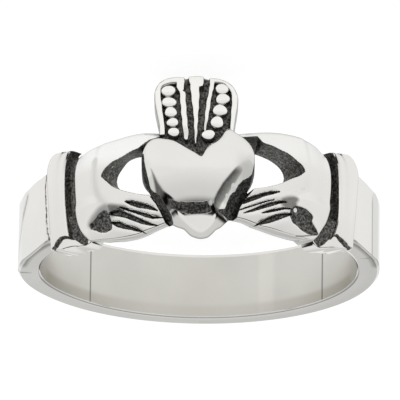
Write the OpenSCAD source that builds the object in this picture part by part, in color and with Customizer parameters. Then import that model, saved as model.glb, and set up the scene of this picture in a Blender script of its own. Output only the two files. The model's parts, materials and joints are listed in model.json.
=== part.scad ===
// Claddagh ring, cast in one piece: a plain band whose shoulders end in cuffs, and two hands
// that reach from the cuffs to hold a domed heart under a beaded crown.
//
// The ring lies on its side as it would by itself, on the top of the crown and on the edge of the
// band behind it. Every form is drawn upright first: x runs across the ring, y along the finger
// from the heart's tip to the crown, and z outwards through the heart. The last step lays it down.

/* [Band] */
// Diameter of the finger hole
finger_hole_d = 17.3; // [14:0.1:22]
// Thickness of the band
band_t = 1.07; // [0.9:0.01:1.6]
// Width of the band along the finger
band_w = 3.75; // [3:0.05:4.5]
// Bevel on the band's outer edges
band_bevel = 0.15; // [0.05:0.01:0.3]
// Depth of the flat filed across each shoulder
shoulder_flat = 0.1; // [0.02:0.01:0.2]
// Length of that flat round the band
shoulder_flat_l = 3.9; // [2.5:0.1:5]

/* [Cuffs] */
// Distance round the band from the middle of the heart to the near side of a cuff
cuff_arc = 8; // [7.6:0.05:9]
// Width of a cuff round the band
cuff_w = 1.5; // [1:0.05:2]
// Length of a cuff along the finger
cuff_l = 5.2; // [4.2:0.05:6]
// How far the seat under a cuff stays inside the cuff's ends
cuff_seat_inset = 0.15; // [0.05:0.01:0.3]
// How far a cuff stands proud of the band
cuff_rise = 0.38; // [0.2:0.01:0.6]
// Radius of a cuff's outer corner on the crown's side
cuff_corner_r = 0.9; // [0.3:0.05:1.2]
// Depth of the groove between a cuff and its hand, below the band's outside
groove_depth = 0.4; // [0.2:0.01:0.6]

/* [Hands] */
// Distance round the band from the middle of the heart to a wrist
wrist_arc = 7.5; // [7:0.05:7.55]
// Height of a hand along the finger
hand_h = 5.5; // [4.5:0.05:6.5]
// How far the back of a hand stands proud of the band
hand_rise = 0.75; // [0.4:0.01:1]
// Thickness of a hand at its edge
hand_edge_t = 0.85; // [0.6:0.01:0.9]
// How far the two hands sit askew along the finger
hand_skew = 0.16; // [0:0.01:0.3]
// Depth of the grooves between the fingers
finger_groove_depth = 0.4; // [0.2:0.01:0.6]

/* [Heart] */
// Width of the heart
heart_w = 5.9; // [5:0.05:6.6]
// Height of the heart from its tip to its lobes
heart_h = 5.3; // [4.6:0.05:5.8]
// How far the heart's tip lies beyond the middle of the band
heart_drop = 3.3; // [3:0.05:3.8]
// How far the top of the heart stands proud of the band
heart_rise = 1.65; // [1.2:0.05:2.2]
// Height of the heart's dome above its upright sides
heart_dome_h = 1.45; // [0.8:0.05:1.5]

/* [Crown] */
// Width of the crown
crown_w = 4.5; // [3.8:0.05:5.2]
// Distance from the middle of the band to the top of the crown
crown_top = 5.8; // [5.2:0.05:6.6]
// Distance from the middle of the band to the foot of the crown
crown_foot = 2.5; // [2.2:0.05:2.8]
// How far the crown sits to one side
crown_shift = -0.23; // [-0.3:0.01:0.3]
// How far the crown's rim and ribs stand proud of the band
crown_rise = 0.35; // [0.2:0.01:0.6]
// Depth of the crown's field below its rim
crown_field_depth = 0.42; // [0.2:0.01:0.6]
// Width of the crown's rim
crown_rim_w = 0.38; // [0.25:0.01:0.5]
// Number of beads on each side of the crown
crown_beads = 5; // [3:1:6]
// Diameter of a bead
bead_d = 0.66; // [0.5:0.01:0.75]

/* [Hidden] */
$fn = 96;
hole_r = finger_hole_d / 2;
band_r = hole_r + band_t;
groove_r = band_r - groove_depth;
cuff_r = band_r + cuff_rise;
hand_edge_r = hole_r + hand_edge_t;
hand_r = band_r + hand_rise;
heart_r = band_r + heart_rise;
crown_r = band_r + crown_rise;
crown_field_r = crown_r - crown_field_depth;
knuckle_r = (hand_edge_r + hand_r) / 2;
// Solids that the finger hole trims start this deep inside it, each kind one step deeper, so that
// no two inner faces coincide
inside_r = hole_r * 0.88;
inside_step = 0.1;
// Cutters run past what they cut by this much
past = 0.5;
// Share of a hand's height over which its surface rolls over at each edge
hand_roll = 0.13;
// Share of wrist_arc to which a cuff's seat reaches under the wrist
seat_reach = 0.85;
// How far a heart's dome draws in as it rises: evenly, and near its top
dome_round = 0.62;
dome_close = 0.3;
// Power that makes the dome fuller below 1
dome_fullness = 0.85;
// How far a bead stands proud of the crown's rim
bead_proud = 0.05;
// Distance from the middle of the band to which the crown's plate reaches under the heart
crown_root = 0.6;
// How far the floor of a groove through the crown's rim lies above the crown's field
slot_step = 0.04;
// Angle that the ring leans to when it rests on its crown and the back of its band
rest_tilt = atan((crown_top - band_w / 2) / (hole_r + band_r - band_bevel));

// Sections of a hand, each a row: distance round the band as a share of wrist_arc, lower and upper
// edge as shares of hand_h, and the height of the surface above the edge at the lower edge, the
// fingers, the back of the hand, the thumb and the upper edge, as shares of hand_edge_r to hand_r
HAND = [
    // round, low,   high, edge, fingers, back, thumb, edge
    [1.01, -0.06, 0.24, 0.10, 0.20, 0.25, 0.20, 0.10],
    [0.98, -0.20, 0.35, 0.15, 0.45, 0.55, 0.50, 0.20],
    [0.945, -0.31, 0.39, 0.15, 0.68, 0.80, 0.70, 0.25],
    [0.90, -0.41, 0.43, 0.10, 0.80, 0.93, 0.84, 0.28],
    [0.84, -0.475, 0.45, 0.05, 0.75, 1.00, 0.90, 0.30],
    [0.75, -0.49, 0.475, 0.00, 0.42, 1.00, 0.92, 0.32],
    [0.66, -0.495, 0.49, 0.00, 0.50, 1.00, 0.90, 0.34],
    [0.57, -0.49, 0.50, 0.00, 0.55, 0.98, 0.85, 0.36],
    [0.48, -0.465, 0.51, 0.00, 0.52, 0.88, 0.80, 0.38],
    [0.39, -0.44, 0.495, 0.00, 0.45, 0.75, 0.72, 0.40],
    [0.30, -0.41, 0.455, 0.00, 0.36, 0.55, 0.55, 0.35],
    [0.20, -0.38, 0.40, 0.00, 0.25, 0.35, 0.35, 0.25],
];
// Opening between the thumb and the palm, as shares of wrist_arc and of hand_h
PALM_OPENING = [
    [0.715, 0.115], [0.675, 0.045], [0.615, -0.005], [0.545, -0.055], [0.47, -0.09],
    [0.36, -0.11], [0.30, 0.10], [0.33, 0.37], [0.44, 0.375], [0.53, 0.31],
    [0.60, 0.265], [0.66, 0.21], [0.70, 0.165],
];
// Grooves between the fingers, each a row: distance round the band and height at the knuckle and
// at the tip, and the groove's width at the knuckle
FINGER_GROOVES = [
    // round, high, round at tip, high at tip, width
    [0.54, -0.145, 0.28, -0.265, 0.28],
    [0.60, -0.19, 0.26, -0.355, 0.20],
    [0.57, -0.245, 0.28, -0.40, 0.24],
    [0.63, -0.335, 0.38, -0.485, 0.34],
];
// Outline of the heart from its notch down one side, as shares of half its width and of its height
// above the tip
HEART_LEFT = [
    [-0.09, 0.86], [-0.22, 0.91], [-0.36, 0.965], [-0.49, 0.993], [-0.62, 1.00], [-0.75, 0.995],
    [-0.87, 0.975], [-0.955, 0.93], [-1.00, 0.865], [-1.01, 0.79], [-0.995, 0.69], [-0.955, 0.59],
    [-0.885, 0.49], [-0.79, 0.40], [-0.68, 0.31], [-0.55, 0.22], [-0.42, 0.14], [-0.27, 0.075],
    [-0.13, 0.025],
];
HEART_RIGHT = [
    [0.09, 0.885], [0.18, 0.925], [0.28, 0.965], [0.37, 1.00], [0.44, 1.05], [0.50, 1.10],
    [0.58, 1.11], [0.70, 1.085], [0.82, 1.04], [0.91, 0.98], [0.965, 0.90], [0.98, 0.80],
    [0.96, 0.70], [0.915, 0.60], [0.84, 0.50], [0.73, 0.39], [0.60, 0.28], [0.46, 0.17],
    [0.30, 0.08], [0.14, 0.025],
];
HEART_NOTCH = [0, 0.82];
HEART_TIP = [0, 0];
// Outline of one side of the crown from its foot to the middle of its top, as shares of half its
// width and of its height
CROWN_SIDE = [
    [0.90, 0], [0.92, 0.25], [0.97, 0.5], [1, 0.68], [0.975, 0.80], [0.90, 0.90], [0.75, 0.96],
    [0.5, 0.98], [0.25, 0.993],
];
// Ribs of the crown, each a row: its two sides at the top and at the foot as shares of half the
// crown's width, and how far its foot reaches as a share of the crown's height
CROWN_RIBS = [
    [-0.50, -0.31, -0.275, -0.173, -0.1],
    [-0.196, 0.173, -0.03, 0.01, -0.15],
    [0.267, 0.335, 0.19, 0.255, 0.05],
];
// Grooves that run out through the crown's rim, in the same shares
CROWN_SLOTS = [[-0.3, -0.205], [0.18, 0.26]];
// Rows of beads, each a row: side of the crown at the top and at the foot, and height at the top
// and at the foot, as shares of half the crown's width and of its height
BEAD_ROWS = [[-0.68, -0.53, 0.745, 0.03], [0.62, 0.33, 0.79, 0.0]];

// Angle round the band of a length measured along its outside
function round_band(l) = l / band_r * 180 / PI;
// A point at an angle round the finger, a place along it and a distance from its middle
function on_finger(angle, y, r) = [r * sin(angle), y, r * cos(angle)];
// A smooth curve through four values, t of the way from b to c
function curve(a, b, c, d, t) =
    b + 0.5 * t * (c - a + t * (2 * a - 5 * b + 4 * c - d + t * (3 * (b - c) + d - a)));
// A smooth value at the share t of a list of evenly spaced values
function along(list, t) =
    let (n = len(list) - 1, i = min(floor(t * n), n - 1), f = t * n - i)
    curve(list[max(i - 1, 0)], list[i], list[i + 1], list[min(i + 2, n)], f);
// The share of its full height that a surface has at the share t, where it rolls over at both edges
function rolled(t) =
    let (e = min(t, 1 - t) / hand_roll) e >= 1 ? 1 : sqrt(1 - pow(1 - e, 2));
// Points of a closed outline, with a smooth curve through them
function smooth_loop(pts, steps) = [
    for (i = [0 : len(pts) - 1], k = [0 : steps - 1])
        let (n = len(pts))
        curve(pts[(i + n - 1) % n], pts[i], pts[(i + 1) % n], pts[(i + 2) % n], k / steps)
];
// The middle of a ring of points
function middle_of(ring) = [for (c = [0 : 2]) let (v = [for (p = ring) p[c]]) (max(v) + min(v)) / 2];
// A closed solid through rings of points, each end closed by triangles about a middle point
module skin(rings, first, last) {
    n = len(rings[0]);
    m = len(rings);
    polyhedron(
        concat([for (ring = rings) each ring], [first, last]),
        concat(
            [for (i = [0 : n - 1]) [n * m, i, (i + 1) % n]],
            [for (k = [0 : m - 2], i = [0 : n - 1], half = [0, 1])
                let (a = k * n + i, b = k * n + (i + 1) % n)
                half == 0 ? [a, b + n, b] : [a, a + n, b + n]],
            [for (i = [0 : n - 1]) [n * m + 1, (m - 1) * n + (i + 1) % n, (m - 1) * n + i]]
        )
    );
}

// A ring sector about the finger: inner and outer radius, width along the finger, and the angles
// from the middle of the heart between which it runs
module sector(r0, r1, w, from, to) {
    rotate([90, 0, 0]) rotate([0, 0, 90 - to])
        rotate_extrude(angle = to - from) translate([r0, -w / 2]) square([r1 - r0, w]);
}

// The band: a hoop with bevelled outer edges that runs round the back from cuff to cuff, with a
// flat filed across each shoulder
module band() {
    half = band_w / 2;
    flat_angle = round_band(cuff_arc + cuff_w + shoulder_flat_l / 2);
    end_angle = round_band(cuff_arc + cuff_w / 2);
    difference() {
        rotate([90, 0, 0]) rotate([0, 0, 90 + end_angle])
            rotate_extrude(angle = 360 - 2 * end_angle)
                polygon([
                    [inside_r, -half], [band_r - band_bevel, -half], [band_r, band_bevel - half],
                    [band_r, half - band_bevel], [band_r - band_bevel, half], [inside_r, half],
                ]);
        for (side = [-1, 1]) rotate([0, side * flat_angle, 0])
            translate([-band_r / 2, -band_w, band_r - shoulder_flat])
                cube([band_r, 2 * band_w, past]);
    }
}

// A cuff: a raised bar across the band, with a rounded outer corner on the crown's side, and the
// wide seat under it that carries the wrist
module cuff(side) {
    near = round_band(cuff_arc);
    far = round_band(cuff_arc + cuff_w);
    half = cuff_r * sin((far - near) / 2);
    corner = min(cuff_corner_r, 1.8 * half);
    seat_l = cuff_l - 2 * cuff_seat_inset;
    seat_back = cuff_arc - seat_reach * wrist_arc;
    seat_r = inside_r - 2 * inside_step;
    mirror([side < 0 ? 1 : 0, 0, 0]) {
        intersection() {
            sector(inside_r - inside_step, cuff_r, cuff_l, near, far);
            rotate([0, (near + far) / 2, 0]) linear_extrude(2 * cuff_r)
                polygon(concat(
                    [[-half - past, -cuff_l], [half + past, -cuff_l]],
                    [for (turn = [0 : 15 : 90])
                        [half - corner + corner * cos(turn), cuff_l / 2 - corner + corner * sin(turn)]],
                    [[-half - past, cuff_l / 2]]
                ));
        }
        rotate([0, near, 0]) translate([-seat_back, -seat_l / 2, seat_r])
            cube([seat_back + cuff_w / 2, seat_l, groove_r - seat_r]);
    }
}

// A hand: a surface lofted through its sections, with the opening beside the thumb cut through
// and the grooves between its fingers cut in
module hand(side) {
    across = 21;
    steps = 2;
    rows = [for (i = [0 : len(HAND) - 2], k = [0 : steps - 1])
        let (n = len(HAND) - 1)
        curve(HAND[max(i - 1, 0)], HAND[i], HAND[i + 1], HAND[min(i + 2, n)], k / steps)];
    lift = side * hand_skew;
    sections = [for (row = concat(rows, [HAND[len(HAND) - 1]]))
        let (angle = round_band(row[0] * wrist_arc), low = row[1] * hand_h + lift,
             high = row[2] * hand_h + lift, heights = [for (c = [3 : 7]) row[c]])
        concat(
            [on_finger(angle, low, inside_r)],
            [for (j = [0 : across - 1])
                let (t = j / (across - 1), rise = along(heights, t) * rolled(t))
                on_finger(angle, low + t * (high - low),
                          hand_edge_r + rise * (hand_r - hand_edge_r))],
            [on_finger(angle, high, inside_r)]
        )];
    middle = round_band(0.5 * wrist_arc);
    function flat(p) = [hand_r * sin(round_band(p[0] * wrist_arc) - middle), p[1] * hand_h + lift];
    mirror([side < 0 ? 1 : 0, 0, 0]) difference() {
        skin(sections, middle_of(sections[0]), middle_of(sections[len(sections) - 1]));
        rotate([0, middle, 0]) {
            translate([0, 0, inside_r / 2]) linear_extrude(hand_r)
                polygon([for (p = PALM_OPENING) flat(p)]);
            for (g = FINGER_GROOVES)
                let (a = flat([g[0], g[1]]), b = flat([g[2], g[3]]), d = (b - a) / norm(b - a),
                     across_it = [-d[1], d[0]] * g[4] / 2)
                translate([0, 0, knuckle_r - finger_groove_depth])
                    linear_extrude(hand_r)
                        polygon([a + across_it, a - across_it, b]);
        }
    }
}

// The heart: upright sides, then a dome that rises in rings from the outline
module heart() {
    half = heart_w / 2;
    outline = [for (p = smooth_loop(concat([HEART_NOTCH], HEART_LEFT, [HEART_TIP],
                                           [for (i = [len(HEART_RIGHT) - 1 : -1 : 0]) HEART_RIGHT[i]]), 2))
        [p[0] * half, p[1] * heart_h - heart_drop]];
    centre = [0, 0.5 * heart_h - heart_drop];
    rings = 9;
    side_r = heart_r - heart_dome_h;
    // Share of the outline's size and share of the dome's height at ring k
    function size(k) = 1 - dome_round * (1 - cos(90 * k / rings)) - dome_close * pow(k / rings, 3);
    function height(k) = pow(sin(90 * k / rings), dome_fullness);
    levels = concat(
        [[for (p = outline) [p[0], p[1], inside_r]]],
        [for (k = [0 : rings])
            [for (p = outline)
                let (q = centre + (p - centre) * size(k))
                [q[0], q[1], side_r + heart_dome_h * height(k)]]]
    );
    skin(levels, [centre[0], centre[1], inside_r], [centre[0], centre[1], heart_r]);
}

// Outline of the crown, or of the field inside its rim
function crown_outline(inset, drop) =
    let (half = crown_w / 2 - inset, h = crown_top - crown_foot - inset * 1.25,
         right = [for (p = CROWN_SIDE) [p[0] * half, crown_foot + p[1] * h]],
         n = len(right))
    concat([[right[0][0], crown_foot - drop]], right, [[0, crown_foot + h]],
           [for (i = [n - 1 : -1 : 0]) [-right[i][0], right[i][1]]],
           [[-right[0][0], crown_foot - drop]]);

module crown() {
    half = crown_w / 2;
    h = crown_top - crown_foot;
    plate_r = inside_r - inside_step;
    translate([crown_shift, 0, 0]) {
        translate([0, 0, plate_r]) linear_extrude(crown_field_r - plate_r)
            polygon(crown_outline(0, crown_foot - crown_root));
        difference() {
            translate([0, 0, hole_r]) linear_extrude(crown_r - hole_r) difference() {
                polygon(crown_outline(0, 0));
                polygon(crown_outline(crown_rim_w, past));
            }
            for (slot = CROWN_SLOTS)
                translate([slot[0] * half, crown_top - 2 * crown_rim_w, crown_field_r + slot_step])
                    cube([(slot[1] - slot[0]) * half, 3 * crown_rim_w, past]);
        }
        translate([0, 0, hole_r + inside_step]) linear_extrude(crown_r - hole_r - inside_step)
            for (rib = CROWN_RIBS)
                let (top = crown_top - 0.8 * crown_rim_w, foot = crown_foot + rib[4] * h)
                polygon([[rib[0] * half, top], [rib[1] * half, top],
                         [rib[3] * half, foot], [rib[2] * half, foot]]);
        for (row = BEAD_ROWS, i = [0 : crown_beads - 1])
            let (t = i / (crown_beads - 1))
            translate([(row[0] + (row[1] - row[0]) * t) * half,
                       crown_foot + (row[2] + (row[3] - row[2]) * t) * h,
                       crown_r + bead_proud - bead_d / 2])
                sphere(d = bead_d, $fn = 24);
    }
}

// Everything is soldered or cast into one solid, and the finger hole is cut through it last
module claddagh_ring() {
    color("silver") rotate([-rest_tilt, 0, 0]) rotate([0, 180, 0]) rotate([90, 0, 0])
        difference() {
            union() {
                band();
                for (side = [-1, 1]) {
                    cuff(side);
                    hand(side);
                }
                heart();
                crown();
            }
            rotate([90, 0, 0]) cylinder(r = hole_r, h = 4 * crown_top, center = true, $fn = 180);
        }
}

claddagh_ring();
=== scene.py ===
import json
import math

import bmesh
import bpy
import numpy as np
from mathutils import Matrix, Vector


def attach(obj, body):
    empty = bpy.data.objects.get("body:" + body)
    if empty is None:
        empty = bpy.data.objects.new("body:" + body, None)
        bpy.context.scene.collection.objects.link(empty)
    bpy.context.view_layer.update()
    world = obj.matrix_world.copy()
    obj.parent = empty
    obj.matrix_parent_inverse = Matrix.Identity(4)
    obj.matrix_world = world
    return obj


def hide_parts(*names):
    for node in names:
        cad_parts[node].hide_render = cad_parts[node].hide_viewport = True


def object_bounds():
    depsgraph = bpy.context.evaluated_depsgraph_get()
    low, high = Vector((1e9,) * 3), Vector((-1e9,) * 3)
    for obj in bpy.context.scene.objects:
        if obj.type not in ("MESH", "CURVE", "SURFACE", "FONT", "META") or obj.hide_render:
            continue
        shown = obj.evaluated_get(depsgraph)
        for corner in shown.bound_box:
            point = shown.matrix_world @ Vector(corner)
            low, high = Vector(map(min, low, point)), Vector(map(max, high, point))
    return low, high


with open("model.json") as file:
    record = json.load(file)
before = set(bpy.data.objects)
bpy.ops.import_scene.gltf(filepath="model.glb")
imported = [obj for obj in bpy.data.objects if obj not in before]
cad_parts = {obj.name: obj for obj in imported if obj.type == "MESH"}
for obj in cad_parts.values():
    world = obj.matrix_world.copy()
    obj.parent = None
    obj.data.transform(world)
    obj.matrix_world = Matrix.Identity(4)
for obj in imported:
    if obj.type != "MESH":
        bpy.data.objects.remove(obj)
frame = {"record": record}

CAD_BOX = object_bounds()
PI = math.pi
METRES = .001

# The ring is modelled upright in millimetres: x across it, y along the finger from the heart's tip
# to the crown, z outwards through the heart. LAID turns that to metres, lying on crown and band.
FINGER_HOLE = frame["record"]["mounts"][0]
HOLE_R = FINGER_HOLE["dims"]["r_mm"]
TILT = math.asin(FINGER_HOLE["axis"][1])
LAID = (Matrix.Scale(METRES, 4) @ Matrix.Rotation(-TILT, 4, "X")
        @ Matrix.Rotation(PI, 4, "Y") @ Matrix.Rotation(PI / 2, 4, "X"))

# Outer radii round the finger's axis, and half the band's width
BAND_R = 9.72
HALF_W = 1.875
CUFF_R = 10.1
SEAT_R = 9.93
GROOVE_R = 9.55
HAND_R = 10.48
GROUND_R = 9.35
# A point beyond this radius is on the band's outside, and the cuffs go down to it
OUTSIDE_R = 9.3
# Radii at which degrees round the ring are unrolled to millimetres, for a hand, its opening and
# a groove
HAND_ROUND = 10.3
OPENING_ROUND = 10
GROOVE_ROUND = 9.75
# Rough length of a hand round the ring and along it, over which its edges are rounded
HAND_WIDE = 6.3
HAND_LONG = 5.2
# Heights over the finger's axis of the heart's dome, and of the crown's rim and sunk field
DOME_TOP = 11.37
CROWN_TOP = 10.07
CROWN_FIELD = 9.66
# Points closer than this are one point
MERGE = .0005

# The band: bevels of its outer edges, where it ends under the cuffs in degrees, how much thicker
# its back and right side are, how much wider its left side is below and its right side above,
# and its two flats with their direction and distance
LOW_BEVEL = .14
TOP_BEVEL = .2
BAND_END = {-1: 47, 1: 50}
BAND_THICKER = .14
LEFT_WIDER = .17
RIGHT_WIDER = .13
FLATS = ((-69.5, 9.53), (69.5, 9.7))
# The part of the band let in when the ring was sized: its middle across, and half its length
SIZED_MIDDLE = -.43
SIZED_HALF = 6.4


# Curves and measures

def smooth(low, high, value):
    """0 below low, 1 above high, with a soft start and end. low may be above high."""
    share = np.clip((value - low) / (high - low), 0, 1)
    return share * share * (3 - 2 * share)


def bell(offset, width):
    """1 on a line, falling off softly on both sides of it."""
    return np.exp(-(offset / width) ** 2)


def curve(points, count=0, closed=False):
    """Points evenly spread along a soft line through the given ones, or without a count the line
    itself as a function of 0 to 1."""
    p = np.array(points, float)
    if closed:
        p = np.vstack([p[-2:], p, p[:2]])
    else:
        p = np.vstack([2 * p[0] - p[1], p, 2 * p[-1] - p[-2]])
    first, last = (2 if closed else 1), len(p) - 2
    fine = []
    for i in range(first, last):
        a, b, c, d = p[i - 1], p[i], p[i + 1], p[i + 2]
        for t in np.arange(0, 1, .05):
            fine.append(.5 * (2 * b + (c - a) * t + (2 * a - 5 * b + 4 * c - d) * t * t
                              + (3 * b - a - 3 * c + d) * t ** 3))
    fine.append(p[last])
    fine = np.array(fine)
    run = np.concatenate([[0], np.cumsum(np.linalg.norm(np.diff(fine, axis=0), axis=1))])
    run /= run[-1]

    def at(t):
        return np.stack([np.interp(t, run, fine[:, k]) for k in range(fine.shape[1])], -1)

    if not count:
        return at
    return at(np.linspace(0, 1, count, endpoint=not closed))


def from_outline(x, y, outline):
    """Distance of points from a closed outline, negative inside it."""
    a = np.asarray(outline, float)
    b = np.roll(a, -1, 0)
    shape = x.shape
    x, y = x.ravel()[:, None], y.ravel()[:, None]
    dx, dy = b[:, 0] - a[:, 0], b[:, 1] - a[:, 1]
    t = np.clip(((x - a[:, 0]) * dx + (y - a[:, 1]) * dy) / (dx * dx + dy * dy + 1e-12), 0, 1)
    distance = np.hypot(x - a[:, 0] - t * dx, y - a[:, 1] - t * dy).min(1)
    crossed = ((a[:, 1] > y) != (b[:, 1] > y)) & (x < dx * (y - a[:, 1]) / (dy + 1e-12) + a[:, 0])
    return np.where(crossed.sum(1) % 2 == 1, -distance, distance).reshape(shape)


def from_line(x, y, line):
    """Distance of points from an open line."""
    return from_outline(x, y, line + line[::-1])


def unrolled(line, radius):
    """Places in degrees and along, as millimetres round the ring and along."""
    return [(math.radians(phi) * radius, along) for phi, along in line]


def turned(points):
    """Degrees from the heart, below 0 on the left, and distance from the finger's axis."""
    return np.degrees(np.arctan2(points[:, 0], points[:, 2])), np.hypot(points[:, 0], points[:, 2])


def phi_at(line, along):
    """Degrees of a line that runs upwards or downwards, at places along."""
    rows = sorted(line, key=lambda row: row[1])
    return np.interp(along, [a for _, a in rows], [f for f, _ in rows])


def along_at(line, phi):
    """Place along of a line that runs towards the heart, at angles."""
    return np.interp(phi, [f for f, _ in line][::-1], [a for _, a in line][::-1])


def edge_drop(distance, radius):
    """How far a surface falls at a rounded edge, at a distance inside the edge."""
    inner = np.clip(radius - distance, 0, radius)
    return radius - np.sqrt(np.maximum(radius * radius - inner * inner, 0))


def soft_min(a, b, width):
    """The lower of two heights, with the corner between them rounded."""
    h = np.clip(.5 + .5 * (b - a) / width, 0, 1)
    return b + (a - b) * h - width * h * (1 - h)


def leaf(x, y, line):
    """Share of the way from a tapering cut's edge to its middle line, and how near a point is to it.
    line gives its middle and half width from end to end."""
    share = np.full(x.shape, -1.0)
    near = np.zeros(x.shape)
    for (ax, ay, aw), (bx, by, bw) in zip(line, line[1:]):
        t = ((x - ax) * (bx - ax) + (y - ay) * (by - ay)) / ((bx - ax) ** 2 + (by - ay) ** 2)
        t = np.clip(t, 0, 1)
        off = np.hypot(x - ax - t * (bx - ax), y - ay - t * (by - ay))
        wide = aw + (bw - aw) * t
        share = np.maximum(share, 1 - off / wide)
        near = np.maximum(near, bell(off, wide + .1) * np.clip(wide / .08, 0, 1))
    return np.clip(share, 0, 1), near


# Nodes

class Sock:
    """A node's output, so that shader maths is written as Python."""

    def __init__(self, tree, socket):
        self.tree, self.socket = tree, socket

    def maths(self, operation, *values, clamp=False):
        settings = {"operation": operation, "use_clamp": clamp}
        return make(self.tree, "ShaderNodeMath", settings, dict(enumerate(values)))

    def __add__(self, other):
        return self.maths("ADD", self, other)

    def __radd__(self, other):
        return self.maths("ADD", other, self)

    def __sub__(self, other):
        return self.maths("SUBTRACT", self, other)

    def __rsub__(self, other):
        return self.maths("SUBTRACT", other, self)

    def __mul__(self, other):
        return self.maths("MULTIPLY", self, other)

    def __rmul__(self, other):
        return self.maths("MULTIPLY", other, self)

    def clip(self):
        return self.maths("ADD", self, 0.0, clamp=True)

    def absolute(self):
        return self.maths("ABSOLUTE", self)

    def between(self, low, high):
        """0 at low, 1 at high, softly."""
        return make(self.tree, "ShaderNodeMapRange", {"interpolation_type": "SMOOTHSTEP"},
                    {"Value": self, "From Min": low, "From Max": high})

    def axes(self):
        """The three parts of a vector."""
        node = make(self.tree, "ShaderNodeSeparateXYZ", {}, {0: self}).socket.node
        return [Sock(self.tree, part) for part in node.outputs]


def make(tree, kind, settings, sockets, out=0):
    """A node: its settings first, then its sockets by place or name. Gives one of its outputs."""
    node = tree.nodes.new(kind)
    for key, value in settings.items():
        setattr(node, key, value)
    for key, value in sockets.items():
        if isinstance(value, Sock):
            tree.links.new(value.socket, node.inputs[key])
        else:
            node.inputs[key].default_value = value
    return Sock(tree, node.outputs[out]) if node.outputs else None


def empty_tree(owner):
    """The node tree of a material or world, with nothing in it."""
    owner.use_nodes = True
    owner.node_tree.nodes.clear()
    return owner.node_tree


def blend_colour(tree, share, low, high):
    """Colour low where share is 0, high where it is 1."""
    return make(tree, "ShaderNodeMix", {"data_type": "RGBA"}, {0: share, 6: low, 7: high}, out=2)


def noise(place, scale, detail, rough):
    return make(place.tree, "ShaderNodeTexNoise", {},
                {"Vector": place, "Scale": scale, "Detail": detail, "Roughness": rough})


def stored(tree, name):
    """A value kept on the mesh's points."""
    return make(tree, "ShaderNodeAttribute", {"attribute_name": name}, {}, out="Fac")


def grey(value, warm=0.0):
    return (value * (1 + warm / 3), value, value * (1 - 1.3 * warm), 1)


# Finishes

def marks_inside(tree, place, colour, tone, warm):
    """The band's inside: a brighter stripe that is a painted reflection, painted shade along the lower
    edge, and the two joints of the part let in."""
    x, depth_in, z = place.axes()
    across = x * (1 / METRES)
    along = z * (-math.cos(TILT) / METRES) - depth_in * (math.sin(TILT) / METRES)
    behind = depth_in.between(.002, .003)
    joint = ((across - SIZED_MIDDLE).absolute() - SIZED_HALF).absolute()
    joint = 1 - joint.between(.015, .055)
    # painted reflection: a brighter stripe on the back of the inside
    painted_reflection = across.between(-4.35, -4.0) * (1 - across.between(-3.5, -3.2))
    # painted shade: darker towards the inside's lower edge
    painted_light_share = along.between(-1.0, -1.35) * (.3 + across.absolute().between(2.5, 7.0) * .45)
    colour = blend_colour(tree, painted_reflection * behind * .35, colour, grey(tone * 1.22, warm))
    colour = blend_colour(tree, painted_light_share * behind, colour, grey(tone * .72, .09))
    return blend_colour(tree, joint * behind * .7, colour, grey(.1, .03))


def silver(name, tone, polish, blackened=.035, warm=.03, edge=.7, all_black=False, inside=False):
    """Silver, blackened by each point's black share from 0 to 1, which is blackening and in places a
    painted dark reflection, and darkened by painted shade from its painted light value. A value
    below 0 is a painted highlight, white instead."""
    material = bpy.data.materials.new(name)
    tree = empty_tree(material)
    place = make(tree, "ShaderNodeTexCoord", {}, {}, out="Object")
    black_share, painted_light = stored(tree, "blackening_and_dark_reflection"), stored(tree, "painted_light")
    grain = noise(place, 8000.0, 4.0, .75)
    patches = noise(place, 5500.0, 3.0, .65)
    handling = noise(place, 350.0, 3.0, .5)
    if all_black:
        black = patches.between(.25, .4)
    else:
        ragged = (patches - .5) * .9 * (1 - (black_share * 2 - 1).absolute())
        black = (black_share + ragged).between(.35, .62)
    dark = blend_colour(tree, grain.between(.4, .66), grey(blackened * .5, .08),
                        grey(blackened * 3 + .12, .05))
    bright = blend_colour(tree, handling.between(.3, .7), grey(tone, warm), grey(tone * .97, warm))
    # painted shade: the colour darkened towards near black by the painted light value
    painted_shade_colour = blend_colour(tree, painted_light + (patches - .5) * .25 * painted_light, bright, grey(.03, .06))
    colour = blend_colour(tree, black, painted_shade_colour, dark)
    # painted highlight: the colour made white where the painted light value is below 0
    painted_highlight = (painted_light * -1).clip()
    colour = blend_colour(tree, painted_highlight, colour, grey(1.0))
    if inside:
        colour = marks_inside(tree, place, colour, tone, warm)
    rough = handling.between(.35, .7) * .03 + polish
    rough = rough + black * (.42 - rough)
    rough = rough + painted_highlight * .4
    normal = make(tree, "ShaderNodeBump", {}, {
        "Height": grain * black + handling * .05, "Strength": .6, "Distance": .00003})
    shader = make(tree, "ShaderNodeBsdfPrincipled", {}, {
        "Base Color": colour, "Roughness": rough, "Metallic": 1 - black * .35, "Normal": normal,
        "Specular Tint": (edge, edge, edge, 1)})
    make(tree, "ShaderNodeOutputMaterial", {}, {"Surface": shader})
    return material


# How every piece is made

def sheet(columns, rows, place, spread_u=0.0, spread_v=0.0):
    """A grid whose points are moved to place(u, v), with more of them near its ends by spread."""
    bm = bmesh.new()
    bmesh.ops.create_grid(bm, x_segments=columns, y_segments=rows, size=.5)
    uv = np.array([(v.co.x + .5, v.co.y + .5) for v in bm.verts])
    u = uv[:, 0] - spread_u * np.sin(2 * PI * uv[:, 0]) / (2 * PI)
    v = uv[:, 1] - spread_v * np.sin(2 * PI * uv[:, 1]) / (2 * PI)
    for vert, point in zip(bm.verts, np.stack(place(u, v), -1)):
        vert.co = point
    return bm


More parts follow.
